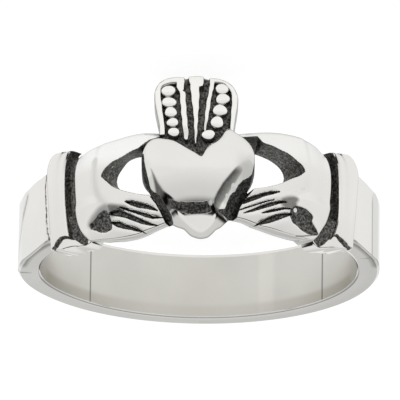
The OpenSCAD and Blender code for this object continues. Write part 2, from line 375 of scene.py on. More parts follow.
def sink(bm, floor):
    """Closes a sheet into a solid, whose lower side is moved by floor(points)."""
    lower = bmesh.ops.extrude_face_region(bm, geom=bm.faces[:], use_keep_orig=True)["geom"]
    verts = [g for g in lower if isinstance(g, bmesh.types.BMVert)]
    points = floor(np.array([v.co for v in verts]))
    for vert, point in zip(verts, points):
        vert.co = point
    return bm


def wrap(side, phi, along, radius):
    """Points round the ring, at phi degrees to one side of the heart."""
    a = np.radians(phi)
    return side * radius * np.sin(a), along, radius * np.cos(a)


def inward(outline, centre, u, v, reach=1.0):
    """Points u of the way round a closed outline, and v of the way from it to its centre."""
    closed = np.vstack([outline, outline[:1]])
    i = u * (len(closed) - 1)
    x = np.interp(i, np.arange(len(closed)), closed[:, 0])
    y = np.interp(i, np.arange(len(closed)), closed[:, 1])
    return x + (centre[0] - x) * v * reach, y + (centre[1] - y) * v * reach


def to_bore(points, radius=HOLE_R):
    """Points moved along the ring's radius, to a distance from the finger's axis."""
    r = np.hypot(points[:, 0], points[:, 2])
    out = points.copy()
    out[:, 0] *= radius / r
    out[:, 2] *= radius / r
    return out


def down_to_bore(points):
    """Points moved straight down to the finger hole."""
    out = points.copy()
    across = np.clip(points[:, 0], -HOLE_R * .9, HOLE_R * .9)
    out[:, 2] = np.sqrt(HOLE_R ** 2 - across ** 2)
    return out


def down_to(height):
    """A floor at one height."""
    return lambda points: np.stack([points[:, 0], points[:, 1], np.full(len(points), height)], -1)


def add_to(whole, bm):
    """Puts a finished shape into a piece of several."""
    mesh = bpy.data.meshes.new("part")
    bm.to_mesh(mesh)
    bm.free()
    whole.from_mesh(mesh)
    bpy.data.meshes.remove(mesh)


def cut(bm, cutter):
    """The solid less the cutter."""
    objects = []
    for part in (bm, cutter):
        bmesh.ops.recalc_face_normals(part, faces=part.faces)
        mesh = bpy.data.meshes.new("part")
        part.to_mesh(mesh)
        part.free()
        objects.append(bpy.data.objects.new("part", mesh))
        bpy.context.scene.collection.objects.link(objects[-1])
    knife = objects[0].modifiers.new("cut", "BOOLEAN")
    knife.operation, knife.solver, knife.object = "DIFFERENCE", "EXACT", objects[1]
    bpy.context.view_layer.update()
    done = bmesh.new()
    done.from_object(objects[0], bpy.context.evaluated_depsgraph_get())
    for part in objects:
        mesh = part.data
        bpy.data.objects.remove(part)
        bpy.data.meshes.remove(mesh)
    return done


def finish_piece(bm, name, material, blackening_and_dark_reflection=None, painted_light=None, crease=40, merge=MERGE):
    """Makes the mesh a piece of the ring: closed, facing out, laid in its place, blackened by the first
    rule of its points, which is blackening and in places a painted dark reflection, and given painted
    shade and painted highlights by the second."""
    if merge:
        bmesh.ops.remove_doubles(bm, verts=bm.verts, dist=merge)
    bmesh.ops.recalc_face_normals(bm, faces=bm.faces)
    points = np.array([v.co for v in bm.verts])
    mesh = bpy.data.meshes.new(name)
    bm.transform(LAID)
    bm.to_mesh(mesh)
    bm.free()
    for wanted, rule in (("blackening_and_dark_reflection", blackening_and_dark_reflection), ("painted_light", painted_light)):
        layer = mesh.attributes.new(wanted, "FLOAT", "POINT")
        values = np.zeros(len(points)) if rule is None else np.clip(rule(points), -1, 1)
        layer.data.foreach_set("value", values.astype(np.float32))
    mesh.polygons.foreach_set("use_smooth", [True] * len(mesh.polygons))
    mesh.set_sharp_from_angle(angle=math.radians(crease))
    mesh.materials.append(material)
    piece = bpy.data.objects.new(name, mesh)
    bpy.context.scene.collection.objects.link(piece)
    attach(piece, "root")
    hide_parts("claddagh_ring")
    return piece


# Shapes taken from the photo, in millimetres

SIDE_NAMES = {-1: "left", 1: "right"}

# Outline of the heart, across and along, from the notch round by the left lobe and the tip
HEART = [(.06, .84), (-.09, .93), (-.23, 1.04), (-.44, 1.17), (-.65, 1.3), (-.93, 1.49), (-1.21, 1.69),
         (-1.43, 1.83), (-1.7, 1.93), (-1.98, 2.0), (-2.26, 2.06), (-2.5, 2.05), (-2.75, 1.92),
         (-2.95, 1.65), (-3.08, 1.35), (-3.13, 1.1), (-3.11, .8), (-3.07, .45), (-3.0, .03),
         (-2.89, -.3), (-2.78, -.6), (-2.62, -.92), (-2.42, -1.25), (-2.1, -1.72), (-1.8, -2.17),
         (-1.55, -2.46), (-1.33, -2.6), (-1.08, -2.7), (-.84, -2.78), (-.7, -2.87), (-.52, -3.0),
         (-.31, -3.09), (.04, -3.16), (.38, -3.12), (.56, -3.04), (.73, -2.92), (.9, -2.78),
         (1.14, -2.65), (1.42, -2.4), (1.6, -2.22), (1.8, -2.03), (2.0, -1.72), (2.2, -1.33),
         (2.42, -.85), (2.6, -.4), (2.75, .1), (2.86, .6), (2.92, .95), (2.9, 1.3), (2.8, 1.58),
         (2.62, 1.87), (2.37, 2.11), (2.08, 2.31), (1.8, 2.48), (1.6, 2.63), (1.46, 2.68), (1.34, 2.5),
         (1.21, 2.24), (1.04, 2.02), (.88, 1.88), (.6, 1.67), (.42, 1.5), (.3, 1.27), (.19, 1.02),
         (.12, .88)]
HEART_EDGE = curve(HEART, 260, closed=True)
# Edge of the heart's dome and tip facet, where the surface turns down to the outline
DOME = [(-2.82, 1.6), (-2.7, 1.82), (-2.4, 1.95), (-1.9, 1.9), (-1.4, 1.72), (-.9, 1.38), (-.4, 1.05),
        (.05, .82), (.3, 1.05), (.6, 1.45), (1.0, 1.75), (1.3, 2.1), (1.5, 2.5), (1.75, 2.38),
        (2.1, 2.17), (2.45, 1.88), (2.65, 1.6), (2.7, 1.3), (2.55, .95), (2.21, .57), (1.79, .12),
        (1.38, -.4), (1.0, -1.0), (.84, -1.35), (.8, -1.7), (.92, -2.1), (.65, -2.55), (.25, -2.84),
        (-.1, -2.84), (-.6, -2.57), (-1.15, -2.1), (-1.43, -1.49), (-1.8, -1.12), (-2.08, -.74),
        (-2.38, -.2), (-2.62, .3), (-2.85, .95)]
# Outlines on the heart: the blackened crevices left and right of it, the band under its dome, painted
# dark as blackening and a painted dark reflection, and the crease right of the tip and the left flank,
# both painted shade
CREVICES = [[(-3.4, 1.4), (-3.0, 1.28), (-2.95, .78), (-2.87, .41), (-2.79, .05), (-2.7, -.29),
             (-2.61, -.63), (-2.43, -.87), (-2.22, -1.0), (-1.97, -1.35), (-1.72, -1.74),
             (-1.46, -2.16), (-1.36, -2.5), (-1.6, -2.8), (-2.6, -2.2), (-3.5, -.5)],
            [(.98, -1.93), (1.1, -1.86), (1.33, -1.76), (1.44, -1.44), (1.6, -1.04), (1.88, -.72),
             (2.08, -.37), (2.29, -.13), (2.57, .07), (2.78, .3), (3.2, .4), (3.2, -1), (2.2, -2.3),
             (1.62, -2.35), (1.4, -2.2), (1.2, -2.1), (1.0, -2.05)]]
UNDER_DOME = [(-1.72, -1.3), (-1.45, -1.44), (-1.17, -1.56), (-.68, -1.6), (-.2, -1.6), (.22, -1.57),
              (.42, -1.52), (.52, -1.7), (.62, -1.95), (.7, -2.08), (.44, -2.18), (.16, -2.21),
              (-.26, -2.24), (-.67, -2.22), (-1.09, -2.09), (-1.48, -1.9), (-1.66, -1.68)]
FOOT_SHADE = [(.6, -1.6), (.82, -1.72), (1.06, -1.9), (1.25, -2.1), (1.48, -2.34), (1.34, -2.44),
              (1.08, -2.36), (.86, -2.18), (.66, -2.08)]
LEFT_SHADE = [(-2.62, .3), (-2.44, -.06), (-2.23, -.51), (-1.94, -.95), (-1.66, -1.28), (-1.4, -1.45),
              (-1.4, -1.9), (-1.7, -2.02), (-1.98, -1.62), (-2.22, -1.2), (-2.34, -.93), (-2.42, -.5),
              (-2.56, .1)]
# The painted shade of the right flank lies between the dome's foot and a ridge outside it
DOME_FOOT = [(.78, -1.74), (.81, -1.46), (.98, -1.1), (1.25, -.61), (1.59, -.16), (1.93, .3), (2.21, .63)]
RIDGE = [(.99, -1.89), (1.12, -1.56), (1.39, -1.1), (1.6, -.75), (1.8, -.45), (1.98, -.15), (2.25, .3)]
# Painted highlights on the heart: across, along, half width and half height
PAINTED_GLINTS = [(.6, -1.66, .11, .17), (1.3, -1.56, .1, .12), (1.46, -1.11, .08, .1), (1.81, -.63, .13, .2)]

# A hand's lines, as degrees from the heart and along. Its edges run from the wrist to the heart (top,
# bottom) or upwards (wrist). grooves between the fingers also give their half width. The opening
# has a front edge (thumb, low) and a rear one (back, low_back), and gap is the crevice beside the
# heart. scoops are hollows of the palm, painted black as blackening and a painted dark reflection
# (softness, blackening, depth, outline), shades are places of painted shade (softness, share,
# outline), strokes soft lines of painted shade (width, share, line), and the glint spots painted
# highlights, where the black and painted shade are left off. mound is the raised back of the hand,
# skew how far its ridge lies off the middle, bright how much its upper part is painted lighter as
# a painted highlight, and raised where the lower wall is undercut.
HANDS = {
    -1: dict(
        name="hand_left",
        top=[(41.2, 2.0), (39.7, 2.12), (36.9, 2.27), (33.1, 2.44), (29.5, 2.54), (26, 2.65), (22.6, 2.8),
             (19.3, 2.9), (16.9, 2.92), (14, 2.86), (8, 2.7)],
        bottom=[(35.8, -2.94), (33.7, -3.05), (30, -3.1), (26.6, -3.15), (22.6, -3.12), (20.1, -3.05),
                (17.7, -2.93), (15.3, -2.77), (11.4, -2.53), (6, -2.2)],
        wrist=[(35.8, -2.94), (37.6, -2.64), (39.3, -2.27), (40.8, -1.73), (41.8, -.97), (42.5, -.13),
               (42.9, .8), (42.7, 1.4), (42.1, 1.75), (41.2, 2.0)],
        grooves=[[(22.3, -1.18, .03), (20.5, -1.29, .12), (18.1, -1.43, .15), (15.8, -1.52, .12),
                  (14.0, -1.64, .08), (12.7, -1.77, .02)],
                 [(24.1, -1.47, .02), (21.6, -1.65, .06), (18.8, -1.81, .08), (16.5, -1.96, .11),
                  (14.2, -2.11, .08), (11.3, -2.15, .02)],
                 [(27.3, -1.75, .08), (24.8, -1.76, .2), (22.4, -1.92, .15), (19.6, -2.15, .14),
                  (17.2, -2.34, .12), (14.9, -2.48, .07), (12.6, -2.56, .02)],
                 [(26.7, -2.26, .06), (24.8, -2.37, .17), (23.1, -2.52, .13), (21.1, -2.63, .1),
                  (19.1, -2.76, .07), (16.8, -2.9, .02)]],
        scoops=[(.1, 1.0, .1, [(34.5, -2.19), (33.9, -2.11), (32.6, -1.97), (31.3, -1.73),
                               (30.0, -1.58), (28.7, -1.55), (27.9, -1.75), (27.2, -1.98),
                               (26.8, -2.34), (27.0, -2.62), (29.0, -2.74), (30.7, -2.69),
                               (32.5, -2.54), (34.1, -2.42)])],
        shades=[(.2, .8, [(28.0, -1.32), (26.7, -1.3), (24.2, -1.42), (22.8, -1.47), (22.2, -1.57),
                          (23.4, -1.65), (25.0, -1.8), (26.2, -1.9), (27.0, -1.88), (27.5, -1.62)]),
                (.3, .6, [(34.3, -2.2), (33.4, -1.9), (32.3, -1.7), (31.2, -1.5), (30, -1.35),
                           (28.4, -1.3), (27.8, -1.6), (27.4, -2), (29, -2.4), (32.6, -2.3)])],
        strokes=[(.22, .16, [(32.9, 1.35), (32.9, .86), (32.8, .29), (32.3, -.15), (31.4, -.61),
                             (29.8, -1.04), (28.6, -1.25)])],
        painted_glints=[],
        mound=[(30, 3), (31.9, 1.97), (31.9, 1.12), (32.3, .4), (32.1, -.29), (30.7, -.85), (28.2, -1.15),
               (24.2, -1.3), (21, -1.5), (17, -1.75), (12, -2.0), (5, -2.2), (5, 3)],
        thumb=[(16.0, 2.3), (17.1, 2.13), (18.8, 1.84), (21.1, 1.64), (23.8, 1.37), (26.6, 1.16),
               (28.5, .92), (29.7, .71), (30.3, .45)],
        low=[(30.3, .38), (28.2, .02), (26.3, -.28), (23.4, -.54), (20.2, -.73), (17.4, -.85),
             (14.5, -.9)],
        back=[(18.0, 1.84), (21.3, 1.84), (23.5, 1.8), (26.2, 1.65), (28.4, 1.33), (30.4, .93),
              (30.9, .62)],
        low_back=[(30.5, .35), (29.3, .15), (26.3, -.2), (23.4, -.46), (20.2, -.66), (17.4, -.8),
                  (14.5, -.9)],
        gap=[(17.0, -.62), (15.0, -.95), (13.3, -1.39), (12.0, -1.82), (11.0, -2.22), (10.0, -2.6)],
        skew=-.1, bright=.55, raised=(-1.8, -2.6)),
    1: dict(
        name="hand_right",
        top=[(43.6, 2.3), (42.5, 2.44), (40.9, 2.6), (38.6, 2.84), (35.7, 2.98), (32.5, 3.08),
             (28.8, 3.12), (25.3, 3.11), (21.9, 3.06), (19.1, 3.0), (16, 2.92), (8, 2.7)],
        bottom=[(37.9, -2.68), (35, -2.76), (31.7, -2.76), (26.4, -2.68), (21.8, -2.54), (18.5, -2.43),
                (14.5, -2.2), (11.3, -2.07), (6, -1.75)],
        wrist=[(37.9, -2.68), (39.3, -2.44), (41.5, -1.98), (43.4, -1.5), (44.9, -.72), (45.6, .1),
               (45.8, .8), (45.6, 1.4), (44.9, 1.95), (43.6, 2.3)],
        grooves=[[(24.2, -.48, .02), (21.8, -.59, .08), (19.4, -.72, .09), (17.4, -.88, .11),
                  (15.1, -1.05, .12), (13.2, -1.26, .06)],
                 [(22.6, -.95, .015), (19.8, -1.11, .03), (16.7, -1.33, .035), (14.0, -1.52, .035),
                  (11.7, -1.7, .02)],
                 [(26.5, -1.0, .02), (24.2, -1.05, .08), (21.6, -1.22, .11), (18.9, -1.41, .1),
                  (16.3, -1.62, .07), (13.6, -1.8, .02)],
                 [(28.0, -1.33, .02), (25.5, -1.38, .05), (23.0, -1.51, .075), (20.6, -1.65, .06),
                  (19.1, -1.74, .02)],
                 [(28.4, -1.6, .03), (26.3, -1.7, .12), (23.9, -1.87, .17), (21.5, -2.07, .16),
                  (19.5, -2.24, .1), (17.3, -2.41, .02)]],
        scoops=[(.1, 1.0, .1, [(27.7, -1.47), (28.6, -2.01), (30.3, -2.17), (32.0, -2.35),
                               (34.3, -2.47), (36.5, -2.48), (38.8, -2.34), (37.0, -2.0),
                               (35.6, -1.77), (36.0, -1.51), (34.6, -1.31), (32.8, -1.17),
                               (31.1, -1.12), (29.4, -1.14)])],
        shades=[(.17, .75, [(25.2, -.86), (28.5, -.66), (30.2, -.73), (29.6, -.95), (29.6, -1.2),
                            (27.3, -1.31), (25.2, -1.2)])],
        strokes=[(.03, .9, [(30.6, -2.72), (32.8, -2.66), (35.5, -2.53), (38.4, -2.37)])],
        painted_glints=[(29.6, -1.34)],
        mound=[(33, 3), (33.5, 1.5), (33.5, .7), (32.5, .1), (30, -.3), (26, -.55), (22, -.75),
               (17, -1.05), (12, -1.4), (5, -1.6), (5, 3)],
        thumb=[(17.6, 2.6), (19, 2.27), (22.2, 2.06), (24.5, 1.88), (27.3, 1.69), (29.8, 1.4),
               (31.5, 1.22), (32.3, 1.02)],
        low=[(32.4, .88), (30.7, .61), (27.7, .33), (25.4, .08), (22.6, -.15), (19.4, -.33), (14.5, -.5)],
        back=[(19.6, 2.07), (23, 1.95), (26.3, 1.78), (29.2, 1.53), (30.9, 1.25), (31.5, 1.0)],
        low_back=[(31.3, .78), (30.3, .6), (27.7, .36), (25.4, .14), (22.6, -.08), (19.4, -.28),
                  (14.5, -.48)],
        gap=[(17.5, -.18), (15.6, -.67), (13.7, -1.12), (12.4, -1.53), (11.8, -1.93), (11.3, -2.3)],
        skew=.28, bright=.3, raised=(-1.6, -2.3)),
}

# A cuff's lines in the same way: its outer and inner edges upwards, its arched lower end and the edge
# of the seat below, both towards the heart, and the outline of the blackened groove. floor says how
# far under the cuff the groove's floor starts, and its lower and upper ends there and at the hand.
CUFFS = {
    -1: dict(name="cuff_left",
             outer=[(52.4, -2.82), (53.0, -2.1), (53.6, -1.5), (54.2, -.6), (54.8, .3), (55.4, 1.1),
                    (55.5, 1.7), (54.7, 2.15), (53.2, 2.43), (51.0, 2.55)],
             arch=[(52.4, -2.82), (51.4, -2.82), (50.4, -2.75), (49.5, -2.58), (48.3, -2.45),
                   (47.2, -2.36), (45.8, -2.35), (44.9, -2.39), (44.0, -2.45)],
             inner=[(44.0, -2.45), (44.6, -2.03), (45.4, -1.35), (46.1, -.5), (46.5, .4), (46.6, 1.1),
                    (46.3, 1.65), (45.6, 2.05), (44.5, 2.32), (43.2, 2.42)],
             seat=[(53.2, -2.86), (51.6, -2.89), (50.3, -2.9), (49.1, -2.97), (47.6, -3.01),
                   (46.0, -2.99), (44.1, -2.94), (41.7, -2.98), (39.3, -3.02), (37.9, -2.97),
                   (36.8, -2.85), (36, -2.6)],
             groove=[(46.2, 2.43), (48.5, 2.02), (48.9, .76), (47.4, -1.07), (45.5, -2.13), (43.9, -2.48),
                     (41.0, -2.84), (39.2, -2.98), (38.2, -2.94), (38.0, -2.6), (36, -2), (36, 2),
                     (40, 2.3)],
             floor=dict(near=1.2, low=(-2.4, -1.9), high=(2.2, 1.85))),
    1: dict(name="cuff_right",
            outer=[(55.8, -2.35), (56.3, -1.7), (57.2, -.6), (57.8, .2), (58.4, 1.1), (58.9, 1.8),
                   (58.5, 2.2), (57.1, 2.5), (55.2, 2.72), (52.8, 2.82)],
            arch=[(55.8, -2.35), (53.9, -2.42), (52.5, -2.38), (51.9, -2.3), (50.5, -2.2), (49, -2.08),
                  (47.6, -1.98), (46.7, -1.98), (45.8, -2.2)],
            inner=[(45.8, -2.2), (46.9, -1.75), (48.0, -1.2), (48.4, -.6), (48.5, .2), (48.4, 1.1),
                   (47.9, 1.9), (47.0, 2.25), (45.8, 2.48), (44.2, 2.56)],
            seat=[(56.2, -2.4), (54.2, -2.5), (52.2, -2.55), (49.9, -2.64), (47.2, -2.7), (44.4, -2.8),
                  (42.2, -2.84), (40.2, -2.76), (39, -2.5)],
            groove=[(43.3, 2.44), (39, 2.2), (38, 0), (38, -2), (39.6, -2.4), (39.8, -2.55), (40.9, -2.7),
                    (42.3, -2.78), (43.9, -2.56), (45.6, -2.21), (47.7, -1.76), (49.1, -1.14),
                    (50.2, .33), (50.3, 1.75), (49.4, 2.42), (47.3, 2.68)],
            floor=dict(near=2.5, low=(-2.2, -1.7), high=(2.2, 1.95))),
}

# Where the band's flats end: degrees at the lower and upper edge on the left, and on the right
FOLDS = ((91.4, 75.9), 74.7)
# The rough line on the band beside the left cuff
ROUGH_LINE = [(55.7, -2.14), (57.0, -1.59), (58.0, -.96), (58.1, -.41), (58.8, .35), (59.4, 1.02),
              (58.5, 1.75)]

# Rim of the crown from its left foot over the top to its right foot: its outer edge across and along,
# then its inner edge
RIM = [(-2.19, 2.45, -1.89, 2.48), (-2.21, 2.99, -1.92, 3.1), (-2.34, 3.61, -1.99, 3.6),
       (-2.46, 4.24, -2.08, 4.22), (-2.49, 4.87, -2.14, 4.79), (-2.3, 5.33, -2.1, 5.11),
       (-1.93, 5.62, -1.8, 5.3), (-1.39, 5.75, -1.39, 5.36), (-.92, 5.74, -.95, 5.4),
       (-.6, 5.79, -.6, 5.42), (-.25, 5.83, -.25, 5.42), (.11, 5.8, .1, 5.4), (.48, 5.72, .47, 5.38),
       (.93, 5.68, .88, 5.42), (1.41, 5.5, 1.2, 5.36), (1.76, 5.2, 1.41, 5.16),
       (1.99, 4.68, 1.6, 4.84), (1.97, 4.12, 1.63, 4.28), (1.88, 3.49, 1.6, 3.65),
       (1.8, 2.79, 1.56, 2.9), (1.74, 2.3, 1.5, 2.4)]
CROWN = [(-2.1, 2.0)] + [row[:2] for row in RIM]
# The two grooves that run out through the top of the rim, from and to across
RIM_SLOTS = ((-.9, -.67), (.13, .45))
# Bars of the crown: left edge and right edge, each as along and across, then how round the foot is
CROWN_BARS = [([(5.6, -1.34), (5.18, -1.31), (4.87, -1.15), (3.61, -1.04), (2.67, -.93), (2.18, -.84)],
               [(5.6, -.91), (5.03, -.91), (4.95, -.97), (4.88, -.84), (3.62, -.74), (2.61, -.64),
                (2.18, -.65)], .14),
              ([(5.66, -.66), (5.19, -.58), (4.56, -.51), (3.62, -.38), (2.37, -.31), (1.96, -.27)],
               [(5.66, .12), (5.25, .11), (5.2, -.09), (4.57, -.08), (3.62, -.13), (2.37, -.18),
                (1.96, -.22)], .03),
              ([(5.55, .46), (5.27, .46), (4.89, .4), (4.26, .29), (3.63, .23), (2.7, .18)],
               [(5.55, .7), (5.08, .69), (4.89, .6), (4.26, .52), (3.63, .44), (2.7, .28)], .05)]
# Beads of the crown: across, along, width and height
BEADS = [(-1.75, 4.95, .75, .6), (-1.7, 4.31, .75, .57), (-1.6, 3.75, .66, .56), (-1.5, 3.17, .62, .5),
         (-1.43, 2.62, .59, .52), (1.13, 5.1, .72, .58), (1.17, 4.53, .73, .6), (1.03, 3.89, .75, .64),
         (.88, 3.21, .7, .64), (.43, 2.5, .71, .55)]


# The band

def band_section():
    """Section of the band as radius and along, with points at most a quarter millimetre apart."""
    low, top = LOW_BEVEL, TOP_BEVEL
    corners = [(HOLE_R, -HALF_W + .1), (HOLE_R + .08, -HALF_W + .02), (HOLE_R + .12, -HALF_W),
               (BAND_R - low - .04, -HALF_W), (BAND_R - low, -HALF_W),
               (BAND_R - .1, -HALF_W + low - .1), (BAND_R - .06, -HALF_W + low - .06),
               (BAND_R - .03, -HALF_W + low - .03), (BAND_R, -HALF_W + low),
               (BAND_R, -HALF_W + low + .03), (BAND_R, -HALF_W + low + .07),
               (BAND_R, HALF_W - top), (BAND_R - .06, HALF_W - .06), (BAND_R - top, HALF_W),
               (HOLE_R + .22, HALF_W), (HOLE_R, HALF_W - .22)]
    fine = []
    for (r0, a0), (r1, a1) in zip(corners, corners[1:] + corners[:1]):
        steps = max(1, int(math.hypot(r1 - r0, a1 - a0) / .25))
        fine += [(r0 + (r1 - r0) * i / steps, a0 + (a1 - a0) * i / steps) for i in range(steps)]
    return fine


def left_widening(phi):
    """How far the lower edge of the band's left side stands out, as a factor of its place."""
    return 1 + LEFT_WIDER * smooth(130, 65, -phi) * (phi < 0)


def shape_band(bm):
    """Widens the band's sides, thickens its back and right, and files the two flats."""
    for v in bm.verts:
        phi = math.degrees(math.atan2(v.co.x, v.co.z))
        radius = math.hypot(v.co.x, v.co.z)
        if v.co.y < 0:
            v.co.y *= float(left_widening(phi))
        if v.co.y > 0 and phi > 0:
            v.co.y *= 1 + RIGHT_WIDER * float(smooth(95, 60, phi))
        thicker = 1 if phi > 0 else float(smooth(80, 92, -phi))
        grown = 1 + BAND_THICKER / radius * thicker * float(smooth(8.95, 9.5, radius))
        v.co.x, v.co.z = v.co.x * grown, v.co.z * grown
        for angle, limit in FLATS:
            out = Vector((math.sin(math.radians(angle)), 0, math.cos(math.radians(angle))))
            over = v.co.dot(out) - limit
            if over > 0:
                v.co -= out * over


def band_recess(p):
    """The rough line beside the left cuff."""
    phi, radius = turned(p)
    line = bell(-phi - phi_at(ROUGH_LINE, p[:, 1]), 1.0)
    return .62 * line * (radius > OUTSIDE_R) * (np.abs(p[:, 1]) < 2.1)


def band_painted_shade(p):
    """Painted shade: dark lines where the band's faces turn and beside the right cuff, a darker lower edge.
    """
    phi, radius = turned(p)
    aside = np.abs(phi)
    outside = radius > OUTSIDE_R
    half = HALF_W * left_widening(phi)
    up = (p[:, 1] + half) / half * HALF_W
    # painted shade: the lower face a little darker, and dark lines at the bevel, lip, folds and cuff
    face = .07 * (p[:, 1] < .02 - half)
    front = smooth(54, 58, aside) * smooth(88, 82, aside) * (radius > 9.4)
    bevel = (.3 * smooth(LOW_BEVEL + .03, LOW_BEVEL, up) + .4 * bell(up - LOW_BEVEL, .03)
             + .4 * smooth(.03, .0, up)) * front
    lip = (.7 + .15 * smooth(125, 75, aside)) * smooth(52, 60, aside)
    lip = lip * (radius < HOLE_R + .1) * (p[:, 1] < -half + .06)
    turn = np.where(phi < 0, np.interp(p[:, 1], [-2, 1.6], FOLDS[0]), FOLDS[1])
    fold = .6 * bell(aside - turn, np.where(phi < 0, .9, .5)) * outside * smooth(1.7, 1.4, p[:, 1])
    beyond = .12 * smooth(turn, turn + 1, aside) * outside * (phi > 0)
    beside_cuff = .75 * bell(phi - phi_at(CUFFS[1]["outer"], p[:, 1]) - .4, .35) * outside * (phi > 0)
    return np.max([face, bevel, lip, fold, beyond, beside_cuff], 0)


def make_band(material, inside):
    bm = bmesh.new()
    start, end = math.radians(BAND_END[1]), math.radians(BAND_END[-1])
    verts = [bm.verts.new((r * math.sin(start), a, r * math.cos(start))) for r, a in band_section()]
    edges = [bm.edges.new((v, verts[(i + 1) % len(verts)])) for i, v in enumerate(verts)]
    bmesh.ops.spin(bm, geom=verts + edges, cent=(0, 0, 0), axis=(0, 1, 0), angle=2 * PI - start - end,
                   steps=560, use_merge=False, use_duplicate=False)
    bmesh.ops.holes_fill(bm, edges=[e for e in bm.edges if e.is_boundary], sides=0)
    shape_band(bm)
    for face in bm.faces:
        middle = face.calc_center_median()
        face.material_index = int(math.hypot(middle.x, middle.z) < HOLE_R + .02)
    piece = finish_piece(bm, "band", material, band_recess, band_painted_shade, crease=28)
    piece.data.materials.append(inside)


# Cuffs, seats and grooves

def make_patch(bottom, top, left, right):
    """A surface between four edges: bottom and top run from left to right, left and right from
    bottom to top."""
    low, high, near, far = (curve(edge) for edge in (bottom, top, left, right))
    c00, c01, c10, c11 = (np.array(p, float) for p in (bottom[0], top[0], bottom[-1], top[-1]))

    def at(u, v):
        uu, vv = u[:, None], v[:, None]
        return ((1 - vv) * low(u) + vv * high(u) + (1 - uu) * near(v) + uu * far(v)
                - ((1 - uu) * (1 - vv) * c00 + (1 - uu) * vv * c01
                   + uu * (1 - vv) * c10 + uu * vv * c11))
    return at


def make_cuff(side, cuff, material):
    """The raised bar across a shoulder, arched at its lower end."""
    wide, long = 1.5, 5.0
    patch = make_patch(cuff["arch"], [cuff["outer"][-1], cuff["inner"][-1]], cuff["outer"], cuff["inner"])

    def place(u, v):
        p = patch(u, v)
        r = (CUFF_R - edge_drop(u * wide, .18) - edge_drop((1 - u) * wide, .13)
             - edge_drop(v * long, .06) - edge_drop((1 - v) * long, .17))
        # worn a little hollow beside its outer edge and along its inner third
        r = r + .03 * smooth(.1, .4, u) * smooth(.85, .6, u) - .02 * bell(u - .28, .07)
        r = r - .045 * bell(u - .72, .09)
        return wrap(side, p[:, 0], p[:, 1], r)

    def blackening_and_dark_reflection(p):
        phi, r = turned(p)
        phi = np.abs(phi)
        beside = smooth(.35, .1, phi - phi_at(cuff["inner"], p[:, 1])) * smooth(10.02, 9.96, r)
        below = smooth(.05, .02, p[:, 1] - along_at(cuff["arch"], phi)) * (p[:, 1] < 0)
        below = below * smooth(.2, 1.2, phi_at(cuff["outer"], p[:, 1]) - phi)
        return np.maximum(beside, below)

    # Painted shade: darker towards the outer edge and at the top, and on the right cuff a painted dark line
    # along the outer edge, where it meets the band.
    def painted_light(p):
        phi = np.abs(turned(p)[0])
        top = cuff["outer"][-1][1]
        from_outer = phi_at(cuff["outer"], p[:, 1]) - phi
        painted_edge_shade = smooth(1.3, .3, from_outer) * (p[:, 1] > -2)
        line = .8 * bell(from_outer - .2, .22) * (p[:, 1] > -2) * (side > 0)
        return np.maximum(.5 * np.maximum(painted_edge_shade, smooth(top - .05, top, p[:, 1])), line)

    bm = sheet(44, 90, place, .5, .5)
    sink(bm, lambda p: to_bore(p, OUTSIDE_R))
    finish_piece(bm, cuff["name"], material, blackening_and_dark_reflection, painted_light, crease=50)


def in_groove(p, cuff):
    """1 inside the blackened groove between a cuff and its hand."""
    x = np.radians(np.abs(turned(p)[0])) * GROOVE_ROUND
    return smooth(.05, -.05, from_outline(x, p[:, 1], unrolled(cuff["groove"], GROOVE_ROUND)))


def make_seat(side, cuff, material):
    """The low tab under a cuff, which carries the wrist."""
    line = cuff["seat"]
    upper = -1.2
    top = [(line[0][0], upper), (line[-1][0], upper)]
    patch = make_patch(line, top, [line[0], top[0]], [line[-1], top[-1]])

    def place(u, v):
        p = patch(u, v)
        r = SEAT_R - edge_drop(v * 1.6, .1) - .33 * smooth(47.5, 42.0, p[:, 0])
        return wrap(side, p[:, 0], p[:, 1], r)

    def blackening_and_dark_reflection(p):
        phi, r = turned(p)
        phi = np.abs(phi)
        under = smooth(.12, .05, along_at(cuff["arch"], phi) - p[:, 1]) * (phi > cuff["inner"][0][0] - .5)
        under = under * smooth(.2, 1.2, cuff["outer"][0][0] - phi)
        black = np.maximum(under, in_groove(p, cuff)) * (r > 9.2)
        return black * smooth(line[-1][0] + .1, line[-1][0] + .6, phi)

    bm = sheet(90, 34, place)
    sink(bm, to_bore)
    finish_piece(bm, "seat_" + SIDE_NAMES[side], material, blackening_and_dark_reflection, crease=50)


def make_groove(side, cuff, hand, material):
    """The blackened floor between a cuff and its hand."""
    ends = cuff["floor"]
    near = [(f + ends["near"], a) for f, a in cuff["inner"]]
    far = [(f - 2.0, a) for f, a in hand["wrist"]]
    near[0], near[-1] = (near[0][0], ends["low"][0]), (near[-1][0], ends["high"][0])
    far[0], far[-1] = (far[0][0] + 3.5, ends["low"][1]), (far[-1][0], ends["high"][1])
    patch = make_patch([near[0], far[0]], [near[-1], far[-1]], near, far)

    def place(u, v):
        p = patch(u, v)
        return wrap(side, p[:, 0], p[:, 1], GROOVE_R - edge_drop(v * 5, .15) - edge_drop((1 - v) * 5, .2))

    bm = sheet(24, 60, place)
    sink(bm, to_bore)
    finish_piece(bm, "groove_" + SIDE_NAMES[side], material, lambda p: smooth(9.2, 9.33, turned(p)[1]))


# Hands

